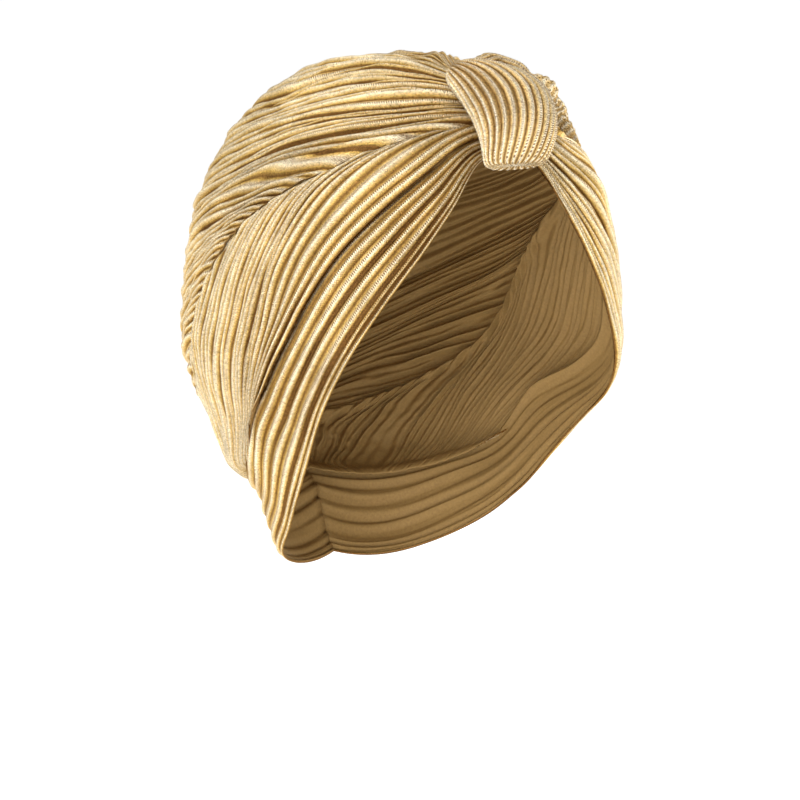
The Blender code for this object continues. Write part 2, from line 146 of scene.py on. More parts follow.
# Share of its width by which the band runs on beneath the fan, the share where it starts to
# sink, and how much deeper its hidden edge lies, in shares of the tuck
BAND_UNDERLAP = 0.07
BAND_SINKS_FROM = 0.90
BAND_EDGE_SINK = 0.4
# Shares of the band's length over which it starts to sink after the knot, and comes up
# again before the place where the fan tucks behind it
KNOT_FADE = 0.08
TUCK_FADE = 0.10

# Elevations where the wraps begin under the knot, on the centre line of the forehead
RIM_FRONT = 39.5
CREASE_FRONT = 46.0
SEAM_FRONT = 50.0
CROWN_FRONT = 70.0

# Share of the plain head form that the cloth keeps low down, at the sides and the nape
# elevation, share at the sides, share at the nape
NECK_PULL = (
    (-90.0, 0.920, 0.920),
    (-70.0, 0.919, 0.920),
    (-64.0, 0.915, 0.918),
    (-58.0, 0.905, 0.880),
    (-53.0, 0.902, 0.854),
    (-48.0, 0.901, 0.876),
    (-43.0, 0.906, 0.910),
    (-38.0, 0.912, 0.912),
    (-31.0, 0.928, 0.928),
    (-22.0, 0.972, 0.972),
    (-10.0, 1.010, 1.010),
    (0.0, 1.000, 1.000),
    (90.0, 1.000, 1.000),
)
# Azimuths between which the pull of the sides gives way to that of the nape
SIDE_ENDS = 80.0
NAPE_BEGINS = 130.0

# The wearer's left side mirrors the right one, drawn forward by a lead in degrees
# azimuth, lead
LEFT_LEAD = (
    (0.0, 0.0),
    (12.0, 5.6),
    (22.0, 10.0),
    (31.0, 13.0),
    (45.0, 16.0),
    (60.0, 16.0),
    (90.0, 12.0),
    (130.0, 5.0),
    (180.0, 0.0),
)
# Elevations between which the lead grows from nothing, at the neck, to its full size
LEAD_BEGINS = -48.0
LEAD_IS_FULL = -12.0

# Face band from the knot to the nape: its rim, and the crease where the side fan starts
# share of length, rim azimuth, rim elevation, crease azimuth, crease elevation
BAND_ROWS = (
    (0.00, 0.0, RIM_FRONT, 0.0, CREASE_FRONT),
    (0.08, 11.0, 39.0, 14.0, 44.0),
    (0.18, 21.8, 27.5, 29.0, 36.0),
    (0.28, 29.8, 17.3, 42.0, 27.0),
    (0.38, 38.5, 6.0, 53.0, 17.0),
    (0.48, 46.7, -6.0, 62.0, 5.0),
    (0.58, 55.0, -19.5, 70.0, -8.0),
    (0.67, 62.0, -31.0, 81.0, -21.0),
    (0.76, 72.0, -45.0, 95.0, -32.0),
    (0.84, 92.0, -58.5, 108.0, -45.0),
    (0.92, 128.0, -65.5, 138.0, -51.0),
    (1.00, 180.0, -65.5, 180.0, -48.0),
)
# Share of the band's length where the side fan tucks behind it
TUCK_PLACE = 0.84

# Seam between the crown and the side fan, from the knot to the nape
# share of length, azimuth, elevation
SEAM_ROWS = (
    (0.00, 0.0, SEAM_FRONT),
    (0.08, 16.0, 48.0),
    (0.19, 38.0, 45.0),
    (0.29, 57.0, 40.5),
    (0.40, 76.0, 35.0),
    (0.50, 91.0, 28.0),
    (0.60, 104.0, 18.0),
    (0.69, 113.0, 6.0),
    (0.77, 119.0, -6.0),
    (0.84, 127.0, -17.0),
    (0.91, 142.0, -27.0),
    (1.00, 180.0, -35.0),
)

# Side fan: pleats from the knot and the seam, spreading down to the nape
# share across, then azimuth and elevation at a fifth, two, three and four fifths along
FAN_ROWS = (
    (0.000, 27.3, 37.4, 47.8, 21.6, 64.0, 2.0, 81.3, -21.3),
    (0.050, 33.5, 39.5, 55.5, 22.3, 70.5, -1.0, 85.5, -22.8),
    (0.094, 49.0, 37.5, 67.0, 18.0, 76.0, -4.0, 88.5, -24.2),
    (0.236, 73.0, 29.0, 83.0, 11.0, 90.0, -9.0, 101.0, -30.0),
    (0.356, 86.0, 25.0, 94.0, 8.0, 101.0, -11.0, 111.0, -31.0),
    (0.453, 99.5, 14.0, 107.0, -3.0, 113.0, -20.0, 121.0, -36.0),
    (0.506, 110.5, 1.0, 115.0, -14.0, 121.0, -28.0, 128.0, -41.0),
    (0.610, 119.5, -10.5, 125.5, -21.0, 131.0, -31.0, 137.0, -42.0),
    (0.680, 127.0, -20.5, 133.0, -28.5, 139.0, -36.5, 145.0, -44.0),
    (0.764, 146.0, -31.0, 151.0, -36.5, 156.0, -41.5, 161.0, -46.0),
    (1.000, 180.0, -37.6, 180.0, -40.2, 180.0, -42.8, 180.0, -45.4),
)
# Where each pleat of the fan starts on the seam; before the first row it leaves the knot
# share across, share of the seam
FAN_STARTS = (
    (0.050, 0.00),
    (0.094, 0.10),
    (0.236, 0.29),
    (0.356, 0.38),
    (0.453, 0.49),
    (0.506, 0.61),
    (0.610, 0.72),
    (0.680, 0.80),
    (0.764, 0.90),
    (1.000, 1.00),
)

# Crown, right half: pleats from the seam and the knot, over to the back centre line
# share across, azimuth and elevation at one to four fifths along, elevation at the end
CROWN_ROWS = (
    (0.000, 156.0, -31.5, 162.0, -32.6, 168.0, -33.6, 174.0, -34.4, -35.0),
    (0.060, 143.0, -24.5, 152.0, -26.5, 162.0, -28.5, 171.0, -30.0, -31.0),
    (0.130, 132.0, -12.0, 144.0, -16.5, 156.0, -20.5, 168.0, -24.0, -26.0),
    (0.246, 122.0, 4.0, 137.0, -3.0, 151.0, -10.0, 166.0, -16.0, -20.0),
    (0.325, 113.0, 16.0, 130.0, 7.0, 147.0, -2.0, 164.0, -10.0, -15.0),
    (0.374, 105.0, 24.0, 124.0, 14.0, 143.0, 3.0, 162.0, -6.0, -10.0),
    (0.414, 98.0, 30.0, 119.0, 21.5, 139.0, 10.5, 160.0, 1.0, -4.0),
    (0.468, 82.0, 40.0, 107.0, 32.5, 131.0, 22.0, 156.0, 11.0, 5.0),
    (0.498, 55.0, 46.0, 92.0, 41.0, 121.0, 29.0, 150.0, 17.0, 10.0),
    (0.567, 40.0, 52.0, 82.0, 49.0, 114.0, 38.0, 147.0, 24.0, 16.0),
    (0.626, 40.0, 55.5, 84.0, 54.0, 117.0, 43.5, 148.0, 30.0, 22.0),
    (0.675, 42.0, 62.0, 82.0, 58.5, 114.0, 50.5, 147.0, 37.0, 28.0),
    (0.783, 45.0, 74.0, 97.0, 68.0, 121.0, 57.0, 152.0, 44.0, 36.0),
    (1.000, 0.0, 83.0, 180.0, 82.0, 180.0, 69.0, 180.0, 57.0, 46.0),
)
# Where each pleat of the crown starts on the seam; past the last row it leaves the knot
# share across, share of the seam
CROWN_STARTS = (
    (0.000, 0.93),
    (0.060, 0.87),
    (0.130, 0.78),
    (0.246, 0.64),
    (0.325, 0.54),
    (0.374, 0.465),
    (0.414, 0.40),
    (0.468, 0.28),
    (0.498, 0.10),
    (0.530, 0.00),
)

# Knot: a bun of wound cloth on the gathered front
KNOT_ELEVATION = 48.0
KNOT_WIDTH = 0.037
KNOT_HEIGHT = 0.0533
KNOT_DEPTH = 0.026
KNOT_STAND_OFF = 0.0105
KNOT_PLEATS = 25
KNOT_PLEAT_DEPTH = 0.0016
# Shares of the knot's width by which its top and its foot lie to the wearer's right, of
# its height by which the foot is short, and of its depth by which both ends sink
KNOT_LEAN = 0.41
KNOT_FOOT_SHIFT = 0.12
KNOT_FOOT_SHORT = 0.18
KNOT_TOP_SINK = 0.12
KNOT_FOOT_SINK = 0.42
# Powers that shape the knot: how the lean grows towards the top, the rounder shoulder on
# the wearer's left, the slim one on the right, the blunt foot, the depth, and how the
# pleats run out towards both ends
KNOT_LEAN_POWER = 2.3
KNOT_LEFT_POWER = 1.75
KNOT_RIGHT_POWER = 1.4
KNOT_FOOT_POWER = 0.15
KNOT_DEPTH_POWER = 0.75
KNOT_RIDGE_POWER = 0.7
# Grid lines from its top to its foot, and how much its pleats and the roll's differ in height
KNOT_RINGS = 96
KNOT_UNEVENNESS = 0.3
# Way over the bulge of the knot, as a multiple of its height
KNOT_BULGE = 1.4

# Rolled fold behind the knot, in shares of the knot's half sizes
# share along, across, up the head, out from the head, share of the full thickness
ROLL_ROWS = (
    (0.00, -0.40, 1.25, -0.72, 0.38),
    (0.22, 0.20, 1.13, -0.53, 0.86),
    (0.45, 0.80, 1.17, -0.75, 0.92),
    (0.65, 1.32, 0.62, -0.47, 0.90),
    (0.84, 1.78, 0.20, -0.87, 0.73),
    (1.00, 2.00, -0.34, -1.04, 0.40),
)
# Its full thickness, the length of cloth gathered into it, its lengthwise pleats and their
# depth, and grid lines along it
ROLL_THICKNESS = 0.0145
ROLL_CLOTH_LENGTH = 0.09
ROLL_PLEATS = 14
ROLL_PLEAT_DEPTH = 0.0012
ROLL_RINGS = 250
# Hollows and lumps where the roll is gathered: share along, half length, swell
ROLL_LUMPS = (
    (0.60, 0.030, -0.30),
    (0.70, 0.050, 0.26),
    (0.76, 0.018, -0.15),
    (0.83, 0.035, 0.20),
    (0.875, 0.015, -0.12),
    (0.93, 0.030, 0.16),
)
# Small gathers round it: share where they begin and over which they grow, their pitch in
# shares of its length, depth and unevenness, and the painted shade of their valleys and the
# painted highlight their ridges add to it
GATHER_FROM = 0.58
GATHER_GROWTH = 0.06
GATHER_PITCH = 0.034
GATHER_DEPTH = 0.0010
GATHER_WANDER = 0.25
GATHER_VALLEY = 0.25
GATHER_RISE = 0.65
# Share of the lengthwise pleats' height that the gathers take away
PLEATS_LOST = 0.8
# Clearance of the knot and the roll above the pleats they rest on
SEAT_CLEARANCE = 0.0012

# Stitch length along a pleat, depth of the stitches, size of the foil's flakes, whose random
# tone carries painted glints, number of the knit's fine wales across a pleat, and patches of
# lighter and darker tone and yarn hairs to the metre
STITCH = 0.0010
STITCH_DEPTH = 0.0002
GLINT = 0.0006
WALES = 6.0
TONE_PATCHES = 60.0
YARN_HAIRS = 900.0
# Row of stitch holes, painted dark as the shade in them: its place across a pleat, and its
# full and its core half width
HOLE_PLACE = 0.56
HOLE_REACH = 0.15
HOLE_CORE = 0.06
# Foil seen at a slant is darker and browner than a smooth metal
GRAZING_GOLD = "#D4BC94"

# White paper: its drop below the cap's origin, half its side, and its glow
PAPER_DROP = 0.45
PAPER_HALF = 30.0
PAPER_GLOW = 0.62
# Even light of the studio from all round
ROOM_LIGHT = 0.45

# Softboxes round the cap
# name, azimuth, elevation, distance, width and height, power
SOFTBOXES = (
    ("softbox_key", 62.0, 38.0, 1.6, (0.9, 0.9), 10.5),
    ("softbox_front", 48.0, -6.0, 1.8, (1.4, 1.2), 21.5),
    ("softbox_behind_right", 150.0, 12.0, 1.7, (2.0, 1.8), 2.0),
    ("softbox_left", -85.0, 12.0, 1.7, (1.6, 1.8), 19.0),
    ("softbox_top", 155.0, 62.0, 1.5, (2.2, 1.6), 14.0),
)

# Camera, as the photograph was taken
CAMERA_AZIMUTH = 35.0
CAMERA_ELEVATION = 6.0
CAMERA_DISTANCE = 1.6
CAMERA_AIM = np.array((0.0, 0.0, -0.104))
FRAME_DROP = 0.0407
FRAME_SIDE = 0.0009
LENS = 168.2


def direction(azimuth, elevation):
    """Unit vectors for angles in degrees."""
    a = np.radians(np.asarray(azimuth, float))
    e = np.radians(np.asarray(elevation, float))
    return np.stack((-np.sin(a) * np.cos(e), -np.cos(a) * np.cos(e), np.sin(e)), -1)


def unit(vectors):
    return vectors / np.linalg.norm(vectors, axis=-1, keepdims=True)


def smooth(share):
    """0 to 1 with level ends."""
    share = np.clip(share, 0, 1)
    return share * share * (3 - 2 * share)


def hermite(start, end, leave, arrive, share):
    """Cubic between two points with the given slopes."""
    square = share * share
    cube = square * share
    return (
        (2 * cube - 3 * square + 1) * start
        + (cube - 2 * square + share) * leave
        + (3 * square - 2 * cube) * end
        + (cube - square) * arrive
    )


def through(places, values, at):
    """Smooth curve through table rows, read at many places."""
    places = np.asarray(places, float)
    values = np.asarray(values, float).reshape(len(places), -1)
    slopes = np.gradient(values, places, axis=0)
    row = np.clip(np.searchsorted(places, at, side="right") - 1, 0, len(places) - 2)
    step = (places[row + 1] - places[row])[:, None]
    share = (at - places[row])[:, None] / step
    return hermite(values[row], values[row + 1], slopes[row] * step, slopes[row + 1] * step, share)


def along(stations, share):
    """Smooth line through evenly spaced stations, one line for each share."""
    last = stations.shape[1] - 1
    slopes = np.gradient(stations, axis=1)
    k = np.clip((share * last).astype(int), 0, last - 1)
    line = np.arange(len(share))
    part = (share * last - k)[:, None]
    leave = slopes[line, k]
    arrive = slopes[line, k + 1]
    return hermite(stations[line, k], stations[line, k + 1], leave, arrive, part)


def angles_of(aim):
    """Azimuth without its sign and elevation of unit vectors, in degrees."""
    azimuth = np.degrees(np.abs(np.arctan2(aim[:, 0], -aim[:, 1])))
    return azimuth, np.degrees(np.arcsin(np.clip(aim[:, 2], -1, 1)))


def head_radius(aim):
    """Distance from the ear centre to the plain cloth form, along unit vectors."""
    reach = np.where(aim[:, 1] < 0, FRONT_REACH, BACK_REACH)
    rise = np.where(aim[:, 2] > 0, CROWN_RISE, NAPE_DROP)
    sides = np.abs(np.stack((aim[:, 0] / HALF_WIDTH, aim[:, 1] / reach, aim[:, 2] / rise)))
    plain = (sides**ROUNDNESS).sum(axis=0) ** (-1 / ROUNDNESS)
    azimuth, height = angles_of(aim)
    pull = through(places_of(NECK_PULL), [row[1:] for row in NECK_PULL], height)
    nape = smooth((azimuth - SIDE_ENDS) / (NAPE_BEGINS - SIDE_ENDS))
    return plain * (pull[:, 0] * (1 - nape) + pull[:, 1] * nape)


def right_side(aim_of):
    return aim_of


def left_side(aim_of):
    """The same wrap on the wearer's left, still drawn on the right, with its lead."""
    def led(u, v):
        azimuth, height = angles_of(aim_of(u, v))
        lead = through(places_of(LEFT_LEAD), [row[1] for row in LEFT_LEAD], azimuth)[:, 0]
        grown = smooth((height - LEAD_BEGINS) / (LEAD_IS_FULL - LEAD_BEGINS))
        return direction(azimuth - lead * grown, height)
    return led


def table_directions(rows, first):
    """Directions held in a table's columns first and first + 1."""
    return direction([row[first] for row in rows], [row[first + 1] for row in rows])


def places_of(rows):
    return [row[0] for row in rows]


def rim_line(u):
    return unit(through(places_of(BAND_ROWS), table_directions(BAND_ROWS, 1), u))


def crease_line(u):
    return unit(through(places_of(BAND_ROWS), table_directions(BAND_ROWS, 3), u))


def seam_line(u):
    return unit(through(places_of(SEAM_ROWS), table_directions(SEAM_ROWS, 1), u))


def front_line(low, high, share):
    """Up the centre line of the forehead, between two elevations."""
    return direction(np.zeros(len(share)), low + (high - low) * np.clip(share, 0, 1))


def band_direction(u, v):
    """Face band: u from the knot to the nape, v from the rim to the crease."""
    v = v[:, None]
    return unit(rim_line(u) * (1 - v) + crease_line(u) * v)


def guided(rows, start, end, edge, u, v):
    """Lines u from start to end, guided across v by a table, meeting an edge at v = 0."""
    places = places_of(rows)
    inner = [through(places, table_directions(rows, 1 + 2 * k), v) for k in range(4)]
    lines = along(np.stack([start(v), *inner, end(v)], axis=1), u)
    nought = np.zeros(1)
    first = [table_directions(rows[:1], 1 + 2 * k) for k in range(4)]
    guide = np.stack([start(nought), *first, end(nought)], axis=1)
    drawn = along(np.repeat(guide, len(u), axis=0), u)
    hold = (np.clip(1 - v, 0, 1) ** EDGE_HOLD)[:, None]
    return unit(lines + hold * (edge(u) - drawn))


def seam_share(starts, v):
    """Share of the seam at which a pleat starts."""
    return np.interp(v, places_of(starts), [row[1] for row in starts])


def fan_start(v):
    corner = FAN_STARTS[0][0]
    from_knot = front_line(CREASE_FRONT, SEAM_FRONT, v / corner)
    return np.where((v < corner)[:, None], from_knot, seam_line(seam_share(FAN_STARTS, v)))


def fan_end(v):
    return crease_line(TUCK_PLACE + (1 - TUCK_PLACE) * v)


def fan_edge(u):
    return crease_line(TUCK_PLACE * u)


def fan_direction(u, v):
    """Side fan: u down the pleats, v from the crease to the back centre line."""
    return guided(FAN_ROWS, fan_start, fan_end, fan_edge, u, v)


def crown_start(v):
    corner = CROWN_STARTS[-1][0]
    from_knot = front_line(SEAM_FRONT, CROWN_FRONT, (v - corner) / (1 - corner))
    return np.where((v < corner)[:, None], seam_line(seam_share(CROWN_STARTS, v)), from_knot)


def crown_end(v):
    ends = through(places_of(CROWN_ROWS), [row[9] for row in CROWN_ROWS], v)[:, 0]
    return direction(np.full(len(v), 180.0), ends)


def crown_edge(u):
    first = CROWN_STARTS[0][1]
    return seam_line(first + (1 - first) * u)


def crown_direction(u, v):
    """Right half of the crown: u along the pleats, v from the seam up to the top."""
    return guided(CROWN_ROWS, crown_start, crown_end, crown_edge, u, v)


def ripple(seed, a, b, waves=5):
    """Smooth seeded unevenness over two shares, from about -1 to 1."""
    draw = np.random.default_rng(seed)
    total = np.zeros_like(a)
    for _ in range(waves):
        along_a, along_b, phase = draw.uniform((0.5, 1.0, 0.0), (3.0, 9.0, 1.0))
        total = total + np.sin(2 * np.pi * (along_a * a + along_b * b + phase))
    return total / np.sqrt(waves)


def pleat_profile(count):
    """Height of the pleats, 0 in the valleys and 1 on the ridges, steeper on one flank."""
    turn = 2 * np.pi * count
    return (0.5 - 0.5 * np.cos(turn - PLEAT_SKEW * np.sin(turn))) ** PLEAT_FULLNESS


class Cloth:
    """A pleated sheet over the head form, worked out on a grid of pleats and stations."""

    def __init__(self, aim_of, pleats, stations, seed, across=(0.0, 1.0), run=(0.0, 1.0),
                 spread=None, wander=WRAP_WANDER):
        self.pleats = pleats
        self.stations = stations
        self.lines = pleats * PLEAT_SAMPLES
        self.seed = seed
        count = np.linspace(0, pleats, self.lines + 1)
        shares = count / pleats
        if spread:
            shares = spread(shares)
        u = run[0] + (run[1] - run[0]) * np.linspace(0, 1, stations + 1)
        self.count, self.u = np.meshgrid(count, u, indexing="ij")
        self.v = np.meshgrid(across[0] + (across[1] - across[0]) * shares, u, indexing="ij")[0]
        inside = smooth(self.v / CALM_BORDER) * smooth((1 - self.v) / CALM_BORDER)
        sway = wander * inside * ripple(seed, self.u, self.v, 6)
        aim = aim_of(self.u.ravel(), (self.v + sway).ravel())
        self.aim = aim.reshape(*self.u.shape, 3)
        self.radius = head_radius(aim).reshape(self.u.shape)
        base = self.aim * self.radius[..., None]
        steps = np.linalg.norm(np.diff(base, axis=1), axis=-1)
        travelled = np.concatenate([np.zeros((self.lines + 1, 1)), np.cumsum(steps, axis=1)], axis=1)
        begins = np.argmin(np.abs(u))
        self.travel = travelled - travelled[:, begins:begins + 1]
        ends = np.argmin(np.abs(u - 1))
        self.to_go = travelled[:, ends:ends + 1] - travelled
        widths = np.linalg.norm(np.gradient(base, axis=0), axis=-1)
        self.pitch = widths * PLEAT_SAMPLES
        self.lift = np.zeros_like(self.u)
        self.shading_relief = np.zeros_like(self.u)

    def lay_pleats(self, uneven):
        """Pleats with a height of their own, shallower where the cloth squeezes them."""
        draw = np.random.default_rng(self.seed + 1)
        own = draw.uniform(1 - uneven, 1 + uneven, self.pleats + 1)
        which = np.clip(self.count.astype(int), 0, self.pleats)
        drift = 1 + uneven * ripple(self.seed + 2, self.u, own[which], 4)
        ridge = pleat_profile(self.count)
        deep = np.minimum(PLEAT_DEPTH * own[which] * drift, PLEAT_STEEPNESS * self.pitch)
        # The pleats' height also sets the colour: painted shade in the valleys, painted highlight on
        # the ridges
        self.shading_relief = ridge
        self.lift += deep * (ridge - 0.5)

    def press_creases(self, share, depth, width, starts, lengths):
        """Deeper creases between some pleats, that begin and end along the way, with painted shade
        in them.
        """
        draw = np.random.default_rng(self.seed + 3)
        for valley in range(1, self.pleats):
            chance, start, length, sink = draw.uniform((0, starts[0], lengths[0], 0.5),
                                                       (1, starts[1], lengths[1], 1.0))
            if chance > share:
                continue
            fade = smooth((self.u - start) / CREASE_FADE)
            fade = fade * smooth((start + length - self.u) / CREASE_FADE)
            reach = width * np.minimum(1, USUAL_PITCH / self.pitch)
            near = np.exp(-(((self.count - valley) / reach) ** 2))
            room = np.minimum(depth * sink, CREASE_ROOM * self.pitch)
            self.lift -= room * near * fade
            # Painted shade: the crease darkens the valley's colour too
            self.shading_relief -= CREASE_SHADE * near * fade

    def swell(self, depth, dents):
        """Broad folds over several pleats, and small dents along them."""
        self.lift += depth * ripple(self.seed + 4, self.u * 0.5, self.v * 3.0, 5)
        self.lift += dents * ripple(self.seed + 5, self.u * 3.5, self.v * 6.0, 6)

    def puff(self, sign):
        """Places where the cloth stands off the head form, on the piece's own side."""
        for azimuth, elevation, size, rise in PUFFS:
            centre = direction(azimuth, elevation) * (sign, 1.0, 1.0)
            apart = np.degrees(np.arccos(np.clip(self.aim @ centre, -1, 1)))
            self.lift += rise * np.exp(-((apart / size) ** 2))

    def points(self):
        return EAR_CENTRE + self.aim * (self.radius + self.lift)[..., None]


def node(tree, kind, inputs=None, **settings):
    """Adds a shader node with its settings, values and links."""
    made = tree.nodes.new("ShaderNode" + kind)
    for name, value in settings.items():
        setattr(made, name, value)
    for socket, value in (inputs or {}).items():
        if isinstance(value, bpy.types.NodeSocket):
            tree.links.new(value, made.inputs[socket])
        else:
            made.inputs[socket].default_value = value
    return made


def linear(code):
    """An sRGB hex colour as linear values with alpha."""
    parts = [int(code[k:k + 2], 16) / 255 for k in (1, 3, 5)]
    return (*[c / 12.92 if c <= 0.04045 else ((c + 0.055) / 1.055) ** 2.4 for c in parts], 1.0)


def gilded_knit(name, ridge, panel, valley, crease, roughness):
    """Foil-printed pleated knit, coloured by the height of its pleats: champagne ridges with a
    painted highlight, warm gold darkened as painted shade in the shallow valleys, brown painted
    shade in the creases, stitch holes down one flank painted dark as shade, and flakes of foil of
    random tone whose brightest are painted glints."""
    material = bpy.data.materials.new(name)
    material.use_nodes = True
    tree = material.node_tree
    shader = tree.nodes["Principled BSDF"]
    cloth = node(tree, "UVMap", uv_map="cloth").outputs[0]
    parts = node(tree, "SeparateXYZ", {0: cloth})
    # The pleats' height sets the colour: painted shade from the crease colour in the valleys' floors
    # up to a painted highlight in the ridge colour
    shading_relief = node(tree, "Attribute", attribute_name="shading_relief").outputs["Fac"]
    ramp = node(tree, "ValToRGB", {0: shading_relief})
    ramp.color_ramp.elements[0].position = 0.0
    ramp.color_ramp.elements[0].color = linear(crease)
    ramp.color_ramp.elements[1].position = 0.92
    ramp.color_ramp.elements[1].color = linear(ridge)
    middle = ramp.color_ramp.elements.new(0.22)
    middle.color = linear(valley)
    flank = ramp.color_ramp.elements.new(0.62)
    flank.color = linear(panel)
    rows = node(tree, "Math", {0: parts.outputs[0], 1: 2 * np.pi / STITCH}, operation="MULTIPLY")
    wave = node(tree, "Math", {0: rows.outputs[0]}, operation="SINE").outputs[0]
    wales = node(tree, "Math", {0: parts.outputs[1], 1: 2 * np.pi * WALES}, operation="MULTIPLY")
    loops = node(tree, "Math", {0: wales.outputs[0]}, operation="SINE").outputs[0]
    place = node(tree, "Math", {0: parts.outputs[1]}, operation="FRACT").outputs[0]
    away = node(tree, "Math", {0: place, 1: HOLE_PLACE}, operation="SUBTRACT").outputs[0]
    apart = node(tree, "Math", {0: away}, operation="ABSOLUTE").outputs[0]
    row = node(tree, "MapRange", {"Value": apart, "From Min": HOLE_REACH,
                                  "From Max": HOLE_CORE}).outputs[0]
    dot = node(tree, "MapRange", {"Value": wave, "From Min": 0.2, "From Max": -0.4}).outputs[0]
    holes = node(tree, "Math", {0: row, 1: dot}, operation="MULTIPLY").outputs[0]
    object_place = node(tree, "TexCoord").outputs["Object"]
    flakes = node(tree, "TexVoronoi", {"Vector": object_place, "Scale": 1 / GLINT})
    # Patches of lighter and darker tone at random
    patches = node(tree, "TexNoise", {"Vector": object_place, "Scale": TONE_PATCHES,
                                      "Detail": 3.0})
    patchy_tone = node(tree, "MapRange", {"Value": patches.outputs[0], "From Min": 0.3, "From Max": 0.7,
                                   "To Min": 0.85, "To Max": 1.1}).outputs[0]
    flake_tone = node(tree, "SeparateXYZ", {0: flakes.outputs["Color"]})
    # Flakes of foil in random tone, up to a fifth brighter as painted glints
    painted_glint = node(tree, "MapRange", {"Value": flake_tone.outputs[0], "To Min": 0.72, "To Max": 1.2})
    tone = node(tree, "Math", {0: patchy_tone, 1: painted_glint.outputs[0]}, operation="MULTIPLY").outputs[0]
    toned = node(tree, "MixRGB", {0: 1.0, 1: ramp.outputs[0], 2: tone}, blend_type="MULTIPLY")
    # Stitch holes painted in the crease colour, as the shade in them
    hole_shade_painted = node(tree, "MixRGB", {0: holes, 1: toned.outputs[0], 2: linear(crease)})
    tree.links.new(hole_shade_painted.outputs[0], shader.inputs["Base Color"])
    rough = node(tree, "MapRange", {"Value": flake_tone.outputs[1], "To Min": roughness - 0.08,
                                    "To Max": roughness + 0.12}).outputs[0]
    tree.links.new(rough, shader.inputs["Roughness"])
    shader.inputs["Metallic"].default_value = 0.8
    shader.inputs["Specular Tint"].default_value = linear(GRAZING_GOLD)
    knit = node(tree, "Math", {0: wave, 1: loops}, operation="MULTIPLY").outputs[0]
    pricked = node(tree, "Math", {0: knit, 1: holes}, operation="SUBTRACT").outputs[0]
    height = node(tree, "Math", {0: pricked, 1: flake_tone.outputs[2]}, operation="ADD").outputs[0]
    bump = node(tree, "Bump", {"Strength": 0.6, "Distance": STITCH_DEPTH, "Height": height})
    tree.links.new(bump.outputs[0], shader.inputs["Normal"])
    return material


def plain_reverse(name, code):
    """Back of the knit: dull golden yarn without foil, soft and slightly uneven in tone."""
    material = bpy.data.materials.new(name)
    material.use_nodes = True
    tree = material.node_tree
    shader = tree.nodes["Principled BSDF"]
    place = node(tree, "TexCoord").outputs["Object"]
    yarn = node(tree, "TexNoise", {"Vector": place, "Scale": YARN_HAIRS,
                                   "Detail": 2.0}).outputs[0]
    tone = node(tree, "MapRange", {"Value": yarn, "To Min": 0.7, "To Max": 1.2}).outputs[0]
    tint = node(tree, "MixRGB", {0: 1.0, 1: linear(code), 2: tone}, blend_type="MULTIPLY")
    tree.links.new(tint.outputs[0], shader.inputs["Base Color"])
    shader.inputs["Roughness"].default_value = 0.75
    shader.inputs["Metallic"].default_value = 0.15
    bump = node(tree, "Bump", {"Strength": 0.4, "Distance": STITCH_DEPTH, "Height": yarn})
    tree.links.new(bump.outputs[0], shader.inputs["Normal"])
    return material


def add_piece(name, tools, run, pleat, shading_relief, materials):
    """Turns a bmesh into a smooth piece with its cloth UV map and the attribute of its pleats'
    height, which paints shade in the valleys and a highlight on the ridges.
    """
    mesh = bpy.data.meshes.new(name)
    tools.to_mesh(mesh)
    tools.free()
    mesh.shade_smooth()
    corners = np.zeros(len(mesh.loops), int)
    mesh.loops.foreach_get("vertex_index", corners)
    layer = mesh.uv_layers.new(name="cloth")
    layer.uv.foreach_set("vector", np.stack((run, pleat), -1)[corners].ravel().astype(np.float32))
    heights = mesh.attributes.new("shading_relief", "FLOAT", "POINT")
    heights.data.foreach_set("value", shading_relief.astype(np.float32))
    for material in materials:
        mesh.materials.append(material)
    piece = bpy.data.objects.new(name, mesh)
    bpy.context.collection.objects.link(piece)
    return piece


def make_cloth(name, cloth, mirror, materials):
    """A slab of knit with the sheet's form, its reverse side in the second material."""
    tools = bmesh.new()
    bmesh.ops.create_grid(tools, x_segments=cloth.stations, y_segments=cloth.lines, size=0.5)
    made = bmesh.ops.extrude_face_region(tools, geom=tools.faces[:])
    inner = [part for part in made["geom"] if isinstance(part, bmesh.types.BMVert)]
    bmesh.ops.translate(tools, verts=inner, vec=(0, 0, -1))
    bmesh.ops.recalc_face_normals(tools, faces=tools.faces)
    for face in tools.faces:
        middle = face.calc_center_median()
        on_first_border = middle.y < -0.4999
        face.material_index = int(middle.z < -0.25 and not on_first_border)
    flat = np.array([vert.co[:] for vert in tools.verts])
    station = np.round((flat[:, 0] + 0.5) * cloth.stations).astype(int)
    line = np.round((flat[:, 1] + 0.5) * cloth.lines).astype(int)
    points = cloth.points()[line, station]
    points += cloth.aim[line, station] * (flat[:, 2] * CLOTH)[:, None]
    if mirror:
        points[:, 0] *= -1
    else:
        bmesh.ops.reverse_faces(tools, faces=tools.faces)
    for vert, point in zip(tools.verts, points):
        vert.co = point
    run = cloth.travel[line, station]
    return add_piece(name, tools, run, cloth.count[line, station], cloth.shading_relief[line, station],
                     materials)


def crown_cloth(seed, wrap):
    """Half of the crown, with a soft lip along the seam and turned in at the back."""
    cloth = Cloth(wrap(crown_direction), CROWN_PLEATS, CROWN_STATIONS, seed)
    cloth.lay_pleats(CROWN_UNEVENNESS)
    cloth.press_creases(*CROWN_CREASES)
    cloth.swell(*CROWN_SWELLS)
    corner = CROWN_STARTS[-1][0]
    on_seam = smooth((corner - cloth.v) / CROWN_SEAM_FADE)
    cloth.lift *= 1 - SEAM_FLATNESS * (1 - smooth(cloth.travel / SEAM_RUN)) * on_seam
    lip = smooth(cloth.travel / CROWN_LIP_RUN) * smooth(2 - cloth.travel / CROWN_LIP_RUN / 2)
    cloth.lift += CROWN_LIP_RISE * lip * on_seam
    cloth.lift -= SEAM_TURN * (1 - smooth(cloth.travel / SEAM_TURN_RUN)) * on_seam
    cloth.lift -= BACK_TURN * (1 - smooth(cloth.to_go / BACK_TURN_RUN))
    return cloth


